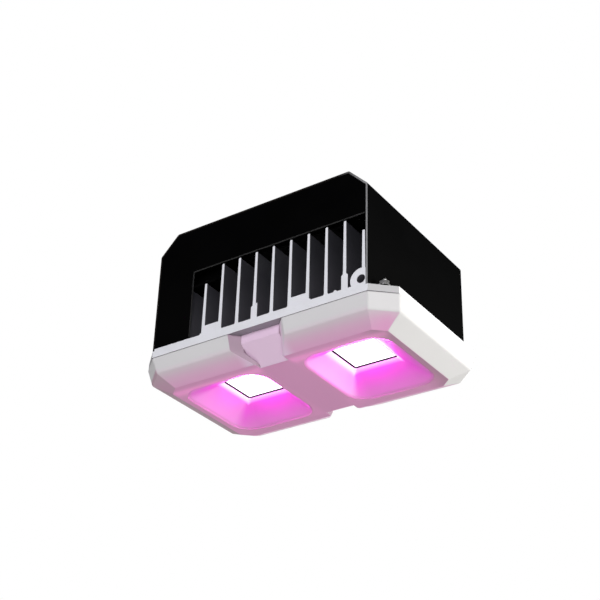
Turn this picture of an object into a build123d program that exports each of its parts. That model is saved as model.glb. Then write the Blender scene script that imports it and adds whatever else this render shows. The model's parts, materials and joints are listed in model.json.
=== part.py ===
from build123d import *
import math
import os

# LED grow light: a finned heat sink with a bent sheet cover on top of it and a moulded housing
# with two reflectors under it.
# Frame: +Z up, +X to the right seen from the front, front face at -Y.
# The origin is the middle of the base, at the level of the reflector rims. Sizes in mm.

# ---- driving dimensions ----
DEPTH = 147.0
HALF_DEPTH = DEPTH / 2
COVER_HALF = 100.0
SHEET = 1.5
COVER_BEND_Z = 114.0
COVER_TOP = 130.9
TOP_FLAT_HALF = 83.5
COVER_INSIDE_X = COVER_HALF - SHEET
COVER_INSIDE_TOP = COVER_TOP - SHEET

PLATE_BOTTOM = 20.3
PLATE_TOP = 25.9
PLATE_HALF = 116.9
PLATE_CORNER = (16.9, 15.7)
FIN_FLOOR = 27.5
FIN_BASE = FIN_FLOOR - 0.5
FIN_PITCH = 16.28
FIN_SHIFT = -1.1
FIN_NUMBERS = range(-5, 7)
FIN_TOP = 86.3
SHORT_FIN_TOP = 73.0
FIN_ROOT_HALF = 1.55
FIN_TIP_HALF = 1.05
FIN_FLARE = 0.8
FIN_FRONT = -HALF_DEPTH
FIN_REAR = 68.2
FIN_EDGE_X = 98.3
CENTRE_BOSS_Z = 38.4
SIDE_BOSS_Z = 38.9
PAD_Z = 34.6
RIB_R = 1.5
TUBE_X = 94.4
TUBE_Z = 31.6
TUBE_R = 9.2
TUBE_BORE_R = 3.5

HOUSING_HALF = 117.6
HOUSING_CORNER = (18.0, 16.0)
HOUSING_WALL = 2.5
JOINT_LIP = (0.6, 0.5)
CREASE_Z = 7.8
CREASE_INSET = (2.3, 4.0)
CREASE_ROUND = 2.5
RIM_ROUND = 1.5
NOTCH_HALF = 25.2
WAIST_HALF = 17.5
NOTCH_DEPTH = 7.5
RIM_X = (10.0, 99.8)
RIM_FRONT = 53.2
RIM_OUTER_CUT = (9.0, 8.0)
RIM_INNER_CUT = (3.5, 3.4)
WAIST_BEND_Z = 12.9
STRIP_HALF = 46.0

MOUTH_CENTRE_X = 56.3
MOUTH = (75.6, 86.0)
MOUTH_CORNER = 16.5
MOUTH_CHAMFER = 0.8
LED_CENTRE_X = 51.7
NECK = (39.6, 36.0)
NECK_CORNER = 2.5
GLASS = (43.6, 40.0)
GLASS_CORNER = 2.5
GLASS_THICK = 4.1
GASKET_THICK = 0.6
GASKET_LIP = 0.5
GLASS_Z = PLATE_BOTTOM - GLASS_THICK
GASKET_Z = GLASS_Z - GASKET_THICK
COLLAR_Z = 14.6
SKIN = 3.6

BOARD = 60.0
BOARD_THICK = 1.6
POCKET_DEPTH = 2.4
BOARD_Z = PLATE_BOTTOM + POCKET_DEPTH - BOARD_THICK
LED_SIZE = (38.0, 34.4)
LED_THICK = 0.6
TAB_X = 57.2
TAB_HALF = 4.0
TAB_END = 46.0
BOARD_SCREW_R = 1.25
BOARD_HEAD_R = 2.4
BOARD_SCREW_AT = 27.2

STUD_X = 106.3
STUD_Y = 60.5
STUD_R = 2.0
STUD_HOLE_R = 2.25
STUD_BOTTOM = 13.0
FOOT_END_X = 110.5
FOOT_HALF = 6.0
WASHER_R = 4.5
WASHER_THICK = 0.8
NUT_FLATS = 7.0
NUT_HEIGHT = 3.2
NUT_DOME_R = 3.2
NUT_BASE_Z = PLATE_TOP + SHEET + WASHER_THICK

WINDOW_LEFT = -64.0
WINDOW_TOP = 88.6
PANEL_BOTTOM = 28.0
PANEL_GAP = 0.1
PANEL_RELIEF = 1.7
REAR_PANEL_Y = 68.5
FLANGE_HALF = 62.0

FAN_X = 14.0
FAN_HALF = 46.0
FAN_THICK = 25.0
FAN_BOTTOM = COVER_INSIDE_TOP - FAN_THICK
FAN_BORE_R = 44.5
FAN_HOLE = 41.25
FAN_FLANGE = 4.0
FAN_SCREW_R = 2.0
TOP_HOLE_R = 43.5
ROTOR_R = 19.0
BLADE_R = 42.8
BLADE_COUNT = 7
SHAFT_R = 1.5
GUARD_WIRE_R = 1.0
GUARD_RINGS = (10.0, 18.0, 26.0, 34.0, 42.0)

RING_X = 71.0
RING_HINGE_Y = 60.0
RING_WIRE_R = 1.25
RING_HALF = 9.25
RING_LENGTH = 16.5
RING_CORNER_R = 2.5
RING_HINGE_Z = COVER_TOP + RING_WIRE_R + 0.35
STRAP_CLEARANCE = 0.08
STRAP_THICK = 1.2
STRAP_HALF = 5.5
STRAP_FOOT = 9.0
RIVET_R = 1.5
RIVET_STEP = 6.3

SHELF_Z = 74.4
SHELF_RIGHT = -41.0
SHELF_REAR = 26.0
SHELF_LIP = 14.0
DRIVER_X = (-95.0, -43.0)
DRIVER_Y = (-63.0, 16.0)
DRIVER_TOP = 111.4
DRIVER_WALL = 1.2
LID_LIP = 1.0
LID_LIP_DEPTH = 5.0
LID_CLEARANCE = 0.1
EAR = 8.0
DRIVER_SCREW_R = 1.5
DRIVER_SCREW_OFF = 16.0
DRIVER_HEAD_R = 2.8
DRIVER_HEAD_HEIGHT = 2.0
SCREW_SLOT = (3.4, 0.8, 1.2)
DRIVER_BOARD_MARGIN = 3.0
DRIVER_BOARD_LIFT = 4.0
DRIVER_BOARD_THICK = 1.6
STANDOFF_INSET = 4.0
STANDOFF_R = 2.5
TRANSFORMER = ((-80.0, -58.0), (-40.0, -18.0), 21.0)
CHOKE = ((-88.0, -74.0), (-10.0, 2.0), 13.0)
CAPACITOR_PLACES = ((-62.0, -52.0), (-62.0, 6.0))
CAPACITOR_R = 6.0
CAPACITOR_TOP = 19.0

INLET_X = -70.0
INLET_Z = 106.4
INLET_BODY = (27.6, 20.6)
INLET_FLANGE = (48.0, 22.5, 3.0)
INLET_CUT = 5.0
INLET_BACK = 47.5
INLET_RECESS = (24.4, 16.6)
INLET_FLOOR = 56.0
INLET_SCREW_SPACING = 40.0
PIN_OFFSETS = ((-7.0, -1.4), (7.0, -1.4), (0.0, 2.6))
PIN_SIZE = (2.0, 4.0)
PIN_Y = (50.0, 68.5)
REAR_FACE = REAR_PANEL_Y + SHEET

LEAD_R = 1.8
FAN_LEAD_R = 1.2
GROMMET_R = LEAD_R + 1.4
GROMMET_COLLAR_R = 3.9
GROMMET_COLLAR = 1.2
GROMMET_Y = 42.0


# ---- small helpers ----
def block(x, y, z):
    """A box from three (low, high) pairs."""
    size = Box(x[1] - x[0], y[1] - y[0], z[1] - z[0])
    return Pos((x[0] + x[1]) / 2, (y[0] + y[1]) / 2, (z[0] + z[1]) / 2) * size


def post(x, y, low, high, radius):
    """An upright cylinder."""
    return Pos(x, y, (low + high) / 2) * Cylinder(radius, high - low)


def along_y(x, z, front, back, radius):
    """A cylinder that runs from front to back."""
    centre = Pos(x, (front + back) / 2, z) * Rot(90, 0, 0)
    return centre * Cylinder(radius, back - front)


def prism(points, low, high):
    """A plan outline, extruded upwards."""
    wire = Wire.make_polygon([(x, y, low) for x, y in points])
    return extrude(Face(wire), amount=high - low, dir=(0, 0, 1))


def profile_y(points, front, back):
    """An (x, z) outline, extruded from front to back."""
    wire = Wire.make_polygon([(x, front, z) for x, z in points])
    return extrude(Face(wire), amount=back - front, dir=(0, 1, 0))


def profile_x(points, left, right):
    """A (y, z) outline, extruded from left to right."""
    wire = Wire.make_polygon([(left, y, z) for y, z in points])
    return extrude(Face(wire), amount=right - left, dir=(1, 0, 0))


def rounded_frustum(low, high):
    """A straight-sided transition between two rounded rectangles.

    Each end is (centre x, z, width, depth, corner radius)."""
    ends = []
    for centre_x, z, width, depth, corner in (low, high):
        ends.append(Pos(centre_x, 0, z) * RectangleRounded(width, depth, corner))
    return loft(ends, ruled=True)


def mirrored(shape):
    """The same shape on the other side of the middle plane."""
    return mirror(shape, about=Plane.YZ)


def fused(shapes):
    """One solid from a list of shapes that overlap."""
    first, *rest = shapes
    return first.fuse(*rest).clean()


def chamfered_outline(half_x, half_y, corner):
    """A rectangle with four straight corner cuts, as plan points."""
    cut_x, cut_y = corner
    quarter = [(half_x - cut_x, -half_y), (half_x, -half_y + cut_y)]
    right = quarter + [(x, -y) for x, y in reversed(quarter)]
    return right + [(-x, y) for x, y in reversed(right)]


def save(name, shape):
    """Write one sub-part under its node name."""
    solids = shape.solids()
    whole = solids[0] if len(solids) == 1 else Compound(children=list(solids))
    whole.label = name
    export_step(whole, f"parts/{name}.step")


CORNER_SIGNS = [(sx, sy) for sx in (-1, 1) for sy in (-1, 1)]
STUD_PLACES = [(sx * STUD_X, sy * STUD_Y) for sx, sy in CORNER_SIGNS]
LED_SIDES = {"left": -1, "right": 1}


# ---- heat sink ----
def fin(x, top):
    """One tapered fin with a small flare at its root and a rounded tip."""
    points = [
        (x - FIN_ROOT_HALF - FIN_FLARE, FIN_BASE),
        (x - FIN_ROOT_HALF - FIN_FLARE, FIN_FLOOR),
        (x - FIN_ROOT_HALF, FIN_FLOOR + FIN_FLARE),
        (x - FIN_TIP_HALF, top),
        (x + FIN_TIP_HALF, top),
        (x + FIN_ROOT_HALF, FIN_FLOOR + FIN_FLARE),
        (x + FIN_ROOT_HALF + FIN_FLARE, FIN_FLOOR),
        (x + FIN_ROOT_HALF + FIN_FLARE, FIN_BASE),
    ]
    solid = profile_y(points, FIN_FRONT, FIN_REAR)
    tip_edges = solid.edges().filter_by(Axis.Y).group_by(Axis.Z)[-1]
    return fillet(tip_edges, 0.8 * FIN_TIP_HALF)


def fin_x(number):
    """Middle of a fin, or of a place between two fins when the number is not whole."""
    return number * FIN_PITCH + FIN_SHIFT


def centre_boss():
    """Thick root of the middle fin, its right shoulder higher than the left one."""
    x = fin_x(0)
    points = [
        (x - 2.9, FIN_BASE),
        (x - 2.9, CENTRE_BOSS_Z - 1.2),
        (x - 2.2, CENTRE_BOSS_Z),
        (x + 1.6, CENTRE_BOSS_Z),
        (x + 1.6, CENTRE_BOSS_Z + 1.5),
        (x + 2.9, CENTRE_BOSS_Z + 1.5),
        (x + 2.9, FIN_BASE),
    ]
    return profile_y(points, FIN_FRONT, FIN_REAR)


def side_boss(x):
    """Thick root of one of the outer fins, with sloping shoulders."""
    points = [
        (x - 2.8, FIN_BASE),
        (x - 2.8, SIDE_BOSS_Z),
        (x - 1.4, SIDE_BOSS_Z + 1.5),
        (x + 1.4, SIDE_BOSS_Z + 1.5),
        (x + 2.8, SIDE_BOSS_Z),
        (x + 2.8, FIN_BASE),
    ]
    return profile_y(points, FIN_FRONT, FIN_REAR)


def root_details():
    """The extrusion's thickened roots, raised pads and small ribs between the fins."""
    shapes = [centre_boss()]
    for side in (-1, 1):
        pad = sorted((fin_x(2 * side), fin_x(3 * side)))
        shapes.append(block(pad, (FIN_FRONT, FIN_REAR), (FIN_BASE, PAD_Z)))
        shapes.append(side_boss(fin_x(5 * side)))
        for place in (3.1, 4.5):
            shapes.append(along_y(fin_x(side * place), FIN_FLOOR - 0.2, FIN_FRONT, FIN_REAR, RIB_R))
    return shapes


def heatsink():
    """Extruded heat sink: flanged base plate, twelve fins, edge tubes and the machined holes."""
    plate = prism(chamfered_outline(PLATE_HALF, HALF_DEPTH, PLATE_CORNER), PLATE_BOTTOM, PLATE_TOP)
    thick = block((-FIN_EDGE_X, FIN_EDGE_X), (-HALF_DEPTH, FIN_REAR), (PLATE_BOTTOM + 1, FIN_FLOOR))
    shapes = [plate, thick]
    for number in FIN_NUMBERS:
        short = number <= -3 or number == 6
        shapes.append(fin(fin_x(number), SHORT_FIN_TOP if short else FIN_TOP))
    shapes += root_details()
    above_floor = block((-FIN_EDGE_X, FIN_EDGE_X), (FIN_FRONT, FIN_REAR), (FIN_BASE, FIN_TOP))
    for side in (-1, 1):
        shapes.append(along_y(side * TUBE_X, TUBE_Z, FIN_FRONT, FIN_REAR, TUBE_R) & above_floor)
    body = fused(shapes)
    sides = block((-FIN_EDGE_X, FIN_EDGE_X), (-HALF_DEPTH, HALF_DEPTH), (PLATE_TOP, 2 * FIN_TOP))
    below = block((-2 * PLATE_HALF, 2 * PLATE_HALF), (-HALF_DEPTH, HALF_DEPTH), (0, PLATE_TOP))
    body = body & fused([sides, below])
    relief_z = (PANEL_BOTTOM - 0.3, 2 * FIN_TOP)
    cuts = [block((-2 * FIN_EDGE_X, WINDOW_LEFT + 0.3), (-DEPTH, -HALF_DEPTH + PANEL_RELIEF), relief_z)]
    for side in (-1, 1):
        cuts.append(along_y(side * TUBE_X, TUBE_Z, FIN_FRONT - 1, FIN_REAR + 1, TUBE_BORE_R))
        centre = side * LED_CENTRE_X
        half = BOARD / 2 + 0.3
        pocket = (PLATE_BOTTOM - 1, PLATE_BOTTOM + POCKET_DEPTH)
        tab = side * TAB_X
        cuts.append(block((centre - half, centre + half), (-half, half), pocket))
        cuts.append(block((tab - TAB_HALF - 0.3, tab + TAB_HALF + 0.3), (0, TAB_END + 0.3), pocket))
        cuts.append(post(tab, GROMMET_Y, PLATE_BOTTOM, FIN_FLOOR + 1, GROMMET_R))
        for dx, dy in CORNER_SIGNS:
            x = centre + dx * BOARD_SCREW_AT
            cuts.append(post(x, dy * BOARD_SCREW_AT, PLATE_BOTTOM, PLATE_BOTTOM + 6.0, BOARD_SCREW_R))
    for x, y in STUD_PLACES:
        cuts.append(post(x, y, PLATE_BOTTOM - 1, PLATE_TOP + 1, STUD_HOLE_R))
    return body.cut(*cuts).clean()


# ---- light modules ----
def cob_board(side):
    """Metal-core board with a terminal tab and four countersunk holes."""
    centre = side * LED_CENTRE_X
    tab = side * TAB_X
    half = BOARD / 2
    level = (BOARD_Z, BOARD_Z + BOARD_THICK)
    plate = block((centre - half, centre + half), (-half, half), level)
    plate = plate + block((tab - TAB_HALF, tab + TAB_HALF), (0, TAB_END), level)
    for dx, dy in CORNER_SIGNS:
        plate = plate - board_screw(centre + dx * BOARD_SCREW_AT, dy * BOARD_SCREW_AT)
    return plate


def board_screw(x, y):
    """Countersunk screw, its head level with the board's lower face."""
    head = Pos(x, y, BOARD_Z + 0.6) * Cone(BOARD_HEAD_R, BOARD_SCREW_R, 1.2)
    return head + post(x, y, BOARD_Z + 1.1, PLATE_BOTTOM + 6.0, BOARD_SCREW_R)


def cob_screws():
    places = []
    for side in LED_SIDES.values():
        for dx, dy in CORNER_SIGNS:
            places.append((side * LED_CENTRE_X + dx * BOARD_SCREW_AT, dy * BOARD_SCREW_AT))
    slot_z = (BOARD_Z - 1, BOARD_Z + 0.5)
    screws = []
    for x, y in places:
        slot = block((x - 0.5, x + 0.5), (y - 1.6, y + 1.6), slot_z)
        screws.append(board_screw(x, y) - slot)
    return Compound(children=screws)


def led_array(side):
    """The field of silicone-covered diodes on the board, with sloping edges."""
    width, depth = LED_SIZE
    return rounded_frustum(
        (side * LED_CENTRE_X, BOARD_Z - LED_THICK, width, depth, 2.0),
        (side * LED_CENTRE_X, BOARD_Z, width + 1.0, depth + 1.0, 2.5),
    )


def lens_glass(side):
    plate = Pos(side * LED_CENTRE_X, 0, GLASS_Z) * RectangleRounded(*GLASS, GLASS_CORNER)
    return extrude(plate, amount=GLASS_THICK)


def lens_gasket(side):
    inner = [size - 2 * GASKET_LIP for size in NECK]
    outline = RectangleRounded(*GLASS, GLASS_CORNER) - RectangleRounded(*inner, NECK_CORNER - GASKET_LIP)
    return extrude(Pos(side * LED_CENTRE_X, 0, GASKET_Z) * outline, amount=GASKET_THICK)


# ---- reflector housing ----
def module_outline(inset_x, inset_y, inset_middle=0.0):
    """Right-hand module in plan: outer corners cut, inner corners cut towards the waist."""
    half_y = HALF_DEPTH - inset_y
    right = HOUSING_HALF - inset_x
    cut_x, cut_y = HOUSING_CORNER
    notch = NOTCH_HALF + inset_middle
    front = [(notch, -half_y), (right - cut_x, -half_y), (right, -half_y + cut_y)]
    back = [(x, -y) for x, y in reversed(front)]
    middle_x = WAIST_HALF + inset_middle
    middle_y = half_y - NOTCH_DEPTH
    return front + back + [(middle_x, middle_y), (middle_x, -middle_y)]


def rim_outline(inset):
    """The module's outline at the rim, its corners cut parallel to the ones above."""
    left, right = RIM_X
    left += inset
    right -= inset
    half_y = RIM_FRONT - inset
    outer_x, outer_y = RIM_OUTER_CUT
    inner_x, inner_y = RIM_INNER_CUT
    front = [(left + inner_x, -half_y), (right - outer_x, -half_y), (right, -half_y + outer_y)]
    back = [(x, -y) for x, y in reversed(front)]
    return front + back + [(left, half_y - inner_y), (left, -half_y + inner_y)]


def between(low_points, low_z, high_points, high_z):
    """Flat-sided solid between two outlines with matching corners."""
    faces = []
    for points, z in ((low_points, low_z), (high_points, high_z)):
        faces.append(Face(Wire.make_polygon([(x, y, z) for x, y in points])))
    return loft(faces, ruled=True)


def waist(inset, half_x):
    """The middle of the housing: set back at the notches, its strip level with the rims."""
    front = HALF_DEPTH - NOTCH_DEPTH - inset
    bend = WAIST_BEND_Z + inset * 0.6
    strip = STRIP_HALF - inset * 0.5
    right = [(strip, inset), (front, bend), (front, PLATE_BOTTOM)]
    left = [(-y, z) for y, z in reversed(right)]
    return profile_x(left + right, -half_x, half_x)


def housing_outside():
    """Outer form of the moulding: two modules, each a band over a sloping skirt, and the waist."""
    lip, lip_height = JOINT_LIP
    band_top = PLATE_BOTTOM - lip_height
    band = between(module_outline(*CREASE_INSET), CREASE_Z, module_outline(0, 0), band_top)
    skirt = between(rim_outline(0), 0, module_outline(*CREASE_INSET), CREASE_Z)
    right = fused([band, skirt])
    rim = [edge for edge in right.edges() if edge.center().Z < 0.01]
    right = fillet(rim, RIM_ROUND)
    soft = []
    for edge in right.edges():
        middle = edge.center()
        rises = abs((edge.position_at(1) - edge.position_at(0)).Z) > 3
        corner = rises and middle.X > 80
        crease = abs(middle.Z - CREASE_Z) < 0.5 and middle.X > WAIST_HALF + 1 and not rises
        if corner or crease:
            soft.append(edge)
    right = fillet(soft, CREASE_ROUND)
    joint = prism(module_outline(lip, lip), band_top - lip_height, PLATE_BOTTOM)
    right = fused([right, joint])
    return fused([right, waist(0, WAIST_HALF), mirrored(right)])


def bowl(side, grow=0.0):
    """The space inside one reflector, or its outer skin when grown by the wall."""
    led = side * LED_CENTRE_X
    mouth = side * MOUTH_CENTRE_X
    width, depth = [size + 2 * grow for size in NECK]
    mouth_width, mouth_depth = [size + 2 * grow for size in MOUTH]
    neck = (led, GASKET_Z, width, depth, NECK_CORNER + grow)
    collar = (led, COLLAR_Z, width + 1.0, depth + 1.0, NECK_CORNER + grow + 0.5)
    edge = (mouth, MOUTH_CHAMFER, mouth_width, mouth_depth, MOUTH_CORNER + grow)
    parts = [rounded_frustum(collar, neck), rounded_frustum(edge, collar)]
    if grow:
        half_x, half_y = width / 2 + 1, depth / 2 + 1
        parts.append(block((led - half_x, led + half_x), (-half_y, half_y), (GASKET_Z - 0.1, PLATE_BOTTOM)))
    else:
        wide = 2 * MOUTH_CHAMFER
        opening = (mouth, 0, mouth_width + wide, mouth_depth + wide, MOUTH_CORNER + MOUTH_CHAMFER)
        parts.append(rounded_frustum(opening, edge))
        recess = RectangleRounded(GLASS[0] + 0.2, GLASS[1] + 0.2, GLASS_CORNER + 0.1)
        parts.append(extrude(Pos(led, 0, GASKET_Z) * recess, amount=PLATE_BOTTOM - GASKET_Z))
    return parts


def reflector_housing():
    """White moulding with both reflectors, hollow above its skin, open to the base plate."""
    outside = housing_outside()
    wall = HOUSING_WALL
    crease = module_outline(CREASE_INSET[0] + wall, CREASE_INSET[1] + wall, wall)
    crease_z = CREASE_Z + wall
    hollow_band = between(crease, crease_z, module_outline(wall, wall, wall), PLATE_BOTTOM)
    hollow_skirt = between(rim_outline(wall), wall, crease, crease_z)
    right = fused([hollow_band, hollow_skirt])
    hollow = fused([right, waist(wall, WAIST_HALF + 2 * wall), mirrored(right)])
    skins = bowl(-1, SKIN) + bowl(1, SKIN)
    hollow = hollow.cut(*skins)
    bosses = [post(x, y, STUD_BOTTOM - 4, PLATE_BOTTOM, 4.6) for x, y in STUD_PLACES]
    hollow = hollow.cut(*bosses)
    cuts = list(hollow.solids()) + bowl(-1) + bowl(1)
    cuts += [post(x, y, STUD_BOTTOM, PLATE_BOTTOM + 1, STUD_R) for x, y in STUD_PLACES]
    return outside.cut(*cuts).clean()


# ---- fasteners at the flange ----
def housing_studs():
    top = NUT_BASE_Z + 3.4
    return Compound(children=[post(x, y, STUD_BOTTOM, top, STUD_R) for x, y in STUD_PLACES])


def nut_washers():
    low = PLATE_TOP + SHEET
    high = low + WASHER_THICK
    rings = [post(x, y, low, high, WASHER_R) - post(x, y, low, high, STUD_HOLE_R) for x, y in STUD_PLACES]
    return Compound(children=rings)


def cap_nuts():
    """Low acorn nuts: a hexagon with a domed cap, bored for the stud."""
    nuts = []
    for x, y in STUD_PLACES:
        base = Pos(x, y, NUT_BASE_Z) * RegularPolygon(NUT_FLATS / 2, 6, major_radius=False)
        hexagon = extrude(base, amount=NUT_HEIGHT)
        dome = Pos(x, y, NUT_BASE_Z + NUT_HEIGHT - 0.9) * Sphere(NUT_DOME_R)
        dome = dome & post(x, y, NUT_BASE_Z + 1, NUT_BASE_Z + 10, NUT_DOME_R)
        bore = post(x, y, NUT_BASE_Z, NUT_BASE_Z + 3.4, STUD_R)
        nuts.append(hexagon + dome - bore)
    return Compound(children=nuts)


# ---- cover and panels ----
def cover_outline(inset, bottom):
    """Front outline of the cover, from the left foot over the top to the right foot."""
    slope = math.atan2(COVER_TOP - COVER_BEND_Z, COVER_HALF - TOP_FLAT_HALF)
    side = COVER_HALF - inset
    bend = COVER_BEND_Z - inset * math.tan((math.pi / 2 - slope) / 2)
    top = COVER_TOP - inset
    flat = TOP_FLAT_HALF - inset * math.tan(slope / 2)
    right = [(side, bottom), (side, bend), (flat, top)]
    return right + [(-x, z) for x, z in reversed(right)]


def cover_shell():
    """One bent sheet: top, two sloping corners, two sides and four feet turned outwards."""
    outer = profile_y(cover_outline(0, PLATE_TOP), -HALF_DEPTH, HALF_DEPTH)
    inner = profile_y(cover_outline(SHEET, PLATE_TOP), -HALF_DEPTH, HALF_DEPTH)
    bends = [e for e in outer.edges().filter_by(Axis.Y) if e.center().Z > COVER_BEND_Z - 1]
    inner_bends = [e for e in inner.edges().filter_by(Axis.Y) if e.center().Z > COVER_BEND_Z - 5]
    shell = fillet(bends, 2.5) - fillet(inner_bends, 1.0)
    feet = []
    for sx, sy in CORNER_SIGNS:
        y0 = sy * STUD_Y
        cut = 4.0
        points = [
            (sx * COVER_INSIDE_X, y0 - FOOT_HALF),
            (sx * (FOOT_END_X - cut), y0 - FOOT_HALF),
            (sx * FOOT_END_X, y0 - FOOT_HALF + cut),
            (sx * FOOT_END_X, y0 + FOOT_HALF - cut),
            (sx * (FOOT_END_X - cut), y0 + FOOT_HALF),
            (sx * COVER_INSIDE_X, y0 + FOOT_HALF),
        ]
        foot = prism(points, PLATE_TOP, PLATE_TOP + SHEET)
        feet.append(foot - post(sx * STUD_X, y0, PLATE_TOP, PLATE_TOP + SHEET, STUD_HOLE_R))
    shell = fused([shell] + feet)
    cuts = [post(FAN_X, 0, COVER_INSIDE_TOP - 1, COVER_TOP + 1, TOP_HOLE_R)]
    for sx, sy in CORNER_SIGNS:
        x = FAN_X + sx * FAN_HOLE
        cuts.append(post(x, sy * FAN_HOLE, COVER_INSIDE_TOP - 1, COVER_TOP + 1, FAN_SCREW_R + 0.3))
    for x, y in rivet_places():
        cuts.append(post(x, y, COVER_INSIDE_TOP - 1, COVER_TOP + 1, RIVET_R))
    return shell.cut(*cuts)


def end_panel(front_y):
    """Flat end sheet inside the cover: a band across the top and a leg on the left."""
    sheet = profile_y(cover_outline(SHEET + PANEL_GAP, PANEL_BOTTOM), front_y, front_y + SHEET)
    window_z = (PANEL_BOTTOM - 1, WINDOW_TOP)
    window = block((WINDOW_LEFT, COVER_HALF), (front_y - 1, front_y + 2 * SHEET), window_z)
    return sheet - window


def front_panel():
    """Front sheet with a flange turned back under the cover's top."""
    face = end_panel(-HALF_DEPTH)
    top = COVER_INSIDE_TOP - PANEL_GAP
    flange = block((-FLANGE_HALF, FLANGE_HALF), (-HALF_DEPTH, -HALF_DEPTH + 9.0), (top - SHEET, top))
    return face + flange


def rear_panel():
    """Rear sheet with a flange turned forward and the cut-out for the inlet."""
    face = end_panel(REAR_PANEL_Y)
    top = COVER_INSIDE_TOP - PANEL_GAP
    flange = block((-FLANGE_HALF, FLANGE_HALF), (REAR_FACE - 9.0, REAR_FACE), (top - SHEET, top))
    width, height = INLET_BODY
    cutout = block(
        (INLET_X - width / 2 - 0.2, INLET_X + width / 2 + 0.2),
        (REAR_PANEL_Y - 1, REAR_FACE + 1),
        (INLET_Z - height / 2 - 0.2, INLET_Z + height / 2 + 0.2),
    )
    holes = []
    for x in inlet_screw_places():
        holes.append(along_y(x, INLET_Z, REAR_PANEL_Y - 1, REAR_FACE + 1, DRIVER_SCREW_R))
    return (face + flange).cut(cutout, *holes)


# ---- hanging rings ----
def rivet_places():
    places = []
    for sx, sy in CORNER_SIGNS:
        for step in (-RIVET_STEP, RIVET_STEP):
            places.append((sx * RING_X, sy * RING_HINGE_Y + step))
    return places


def ring_straps():
    """Saddles that hold the rings' straight bars down on the cover."""
    inner = RING_WIRE_R + STRAP_CLEARANCE
    outer = inner + STRAP_THICK
    straps = []
    for sx, sy in CORNER_SIGNS:
        x0, x1 = sx * RING_X - STRAP_HALF, sx * RING_X + STRAP_HALF
        y0 = sy * RING_HINGE_Y
        bar = Pos(sx * RING_X, y0, RING_HINGE_Z) * Rot(0, 90, 0)
        arch = bar * Cylinder(outer, 2 * STRAP_HALF)
        arch = arch + block((x0, x1), (y0 - outer, y0 + outer), (COVER_TOP, RING_HINGE_Z))
        foot = (y0 - STRAP_FOOT, y0 + STRAP_FOOT)
        arch = arch + block((x0, x1), foot, (COVER_TOP, COVER_TOP + STRAP_THICK))
        arch = arch & block((x0, x1), foot, (COVER_TOP, COVER_TOP + 20))
        arch = arch - bar * Cylinder(inner, 2 * STRAP_HALF + 2)
        arch = arch - block((x0 - 1, x1 + 1), (y0 - inner, y0 + inner), (COVER_TOP - 1, RING_HINGE_Z))
        for step in (-RIVET_STEP, RIVET_STEP):
            arch = arch - post(sx * RING_X, y0 + step, COVER_TOP - 1, COVER_TOP + 3, RIVET_R)
        straps.append(arch)
    return Compound(children=straps)


def ring_rivets():
    rivets = []
    for x, y in rivet_places():
        shank = post(x, y, COVER_INSIDE_TOP - 0.8, COVER_TOP + STRAP_THICK, RIVET_R)
        tail = post(x, y, COVER_INSIDE_TOP - 0.8, COVER_INSIDE_TOP, RIVET_R + 0.6)
        head = Pos(x, y, COVER_TOP + STRAP_THICK - 1.5) * Sphere(2.6)
        head = head & post(x, y, COVER_TOP + STRAP_THICK, COVER_TOP + 10, 3)
        rivets.append(fused([shank, tail, head]))
    return Compound(children=rivets)


def hanging_ring(sx, sy):
    """D-shaped wire ring, lying flat on the cover with its round end towards the middle."""
    inward = -sy
    y0 = sy * RING_HINGE_Y
    z = RING_HINGE_Z
    straight_end = RING_LENGTH - RING_HALF
    start = (0, y0, z)
    corner = (RING_HALF, y0, z)
    shoulder = (RING_HALF, y0 + inward * straight_end, z)
    side = FilletPolyline(start, corner, shoulder, radius=RING_CORNER_R)
    middle = RING_HALF * math.sqrt(0.5)
    arc = ThreePointArc(
        shoulder,
        (middle, y0 + inward * (straight_end + middle), z),
        (0, y0 + inward * RING_LENGTH, z),
    )
    path = Wire(side.edges() + arc.edges())
    section = Plane(origin=start, z_dir=(1, 0, 0)) * Circle(RING_WIRE_R)
    half = sweep(section, path=path)
    whole = fused([half, mirrored(half)])
    return Pos(sx * RING_X, 0, 0) * whole


# ---- fan ----
def fan_frame():
    """Square frame: two flanges, a round wall, corner posts, and four struts to the motor seat."""
    top = FAN_BOTTOM + FAN_THICK
    wall = post(FAN_X, 0, FAN_BOTTOM, top, FAN_HALF)
    shapes = [wall]
    square = RectangleRounded(2 * FAN_HALF, 2 * FAN_HALF, 4.0)
    for low in (FAN_BOTTOM, top - FAN_FLANGE):
        shapes.append(extrude(Pos(FAN_X, 0, low) * square, amount=FAN_FLANGE))
    for sx, sy in CORNER_SIGNS:
        shapes.append(post(FAN_X + sx * FAN_HOLE, sy * FAN_HOLE, FAN_BOTTOM, top, 4.4))
    body = fused(shapes)
    cuts = [post(FAN_X, 0, FAN_BOTTOM - 1, top + 1, FAN_BORE_R)]
    for sx, sy in CORNER_SIGNS:
        cuts.append(post(FAN_X + sx * FAN_HOLE, sy * FAN_HOLE, FAN_BOTTOM - 1, top + 1, FAN_SCREW_R))
    body = body.cut(*cuts)
    strut_top = FAN_BOTTOM + 3.0
    struts = [post(FAN_X, 0, FAN_BOTTOM, strut_top, ROTOR_R)]
    struts.append(post(FAN_X, 0, FAN_BOTTOM, FAN_BOTTOM + 16, 4.0))
    for angle in (45, 135, 225, 315):
        arm = block((ROTOR_R - 2, FAN_BORE_R + 0.8), (-1.5, 1.5), (FAN_BOTTOM, strut_top))
        struts.append(Pos(FAN_X, 0, 0) * Rot(0, 0, angle) * arm)
    body = fused([body] + struts)
    return body - post(FAN_X, 0, FAN_BOTTOM + 1.5, top, 2.5)


def fan_bearings():
    rings = []
    for low in (FAN_BOTTOM + 2.0, FAN_BOTTOM + 11.5):
        rings.append(post(FAN_X, 0, low, low + 4, 2.5) - post(FAN_X, 0, low, low + 4, SHAFT_R + 0.04))
    return Compound(children=rings)


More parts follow.
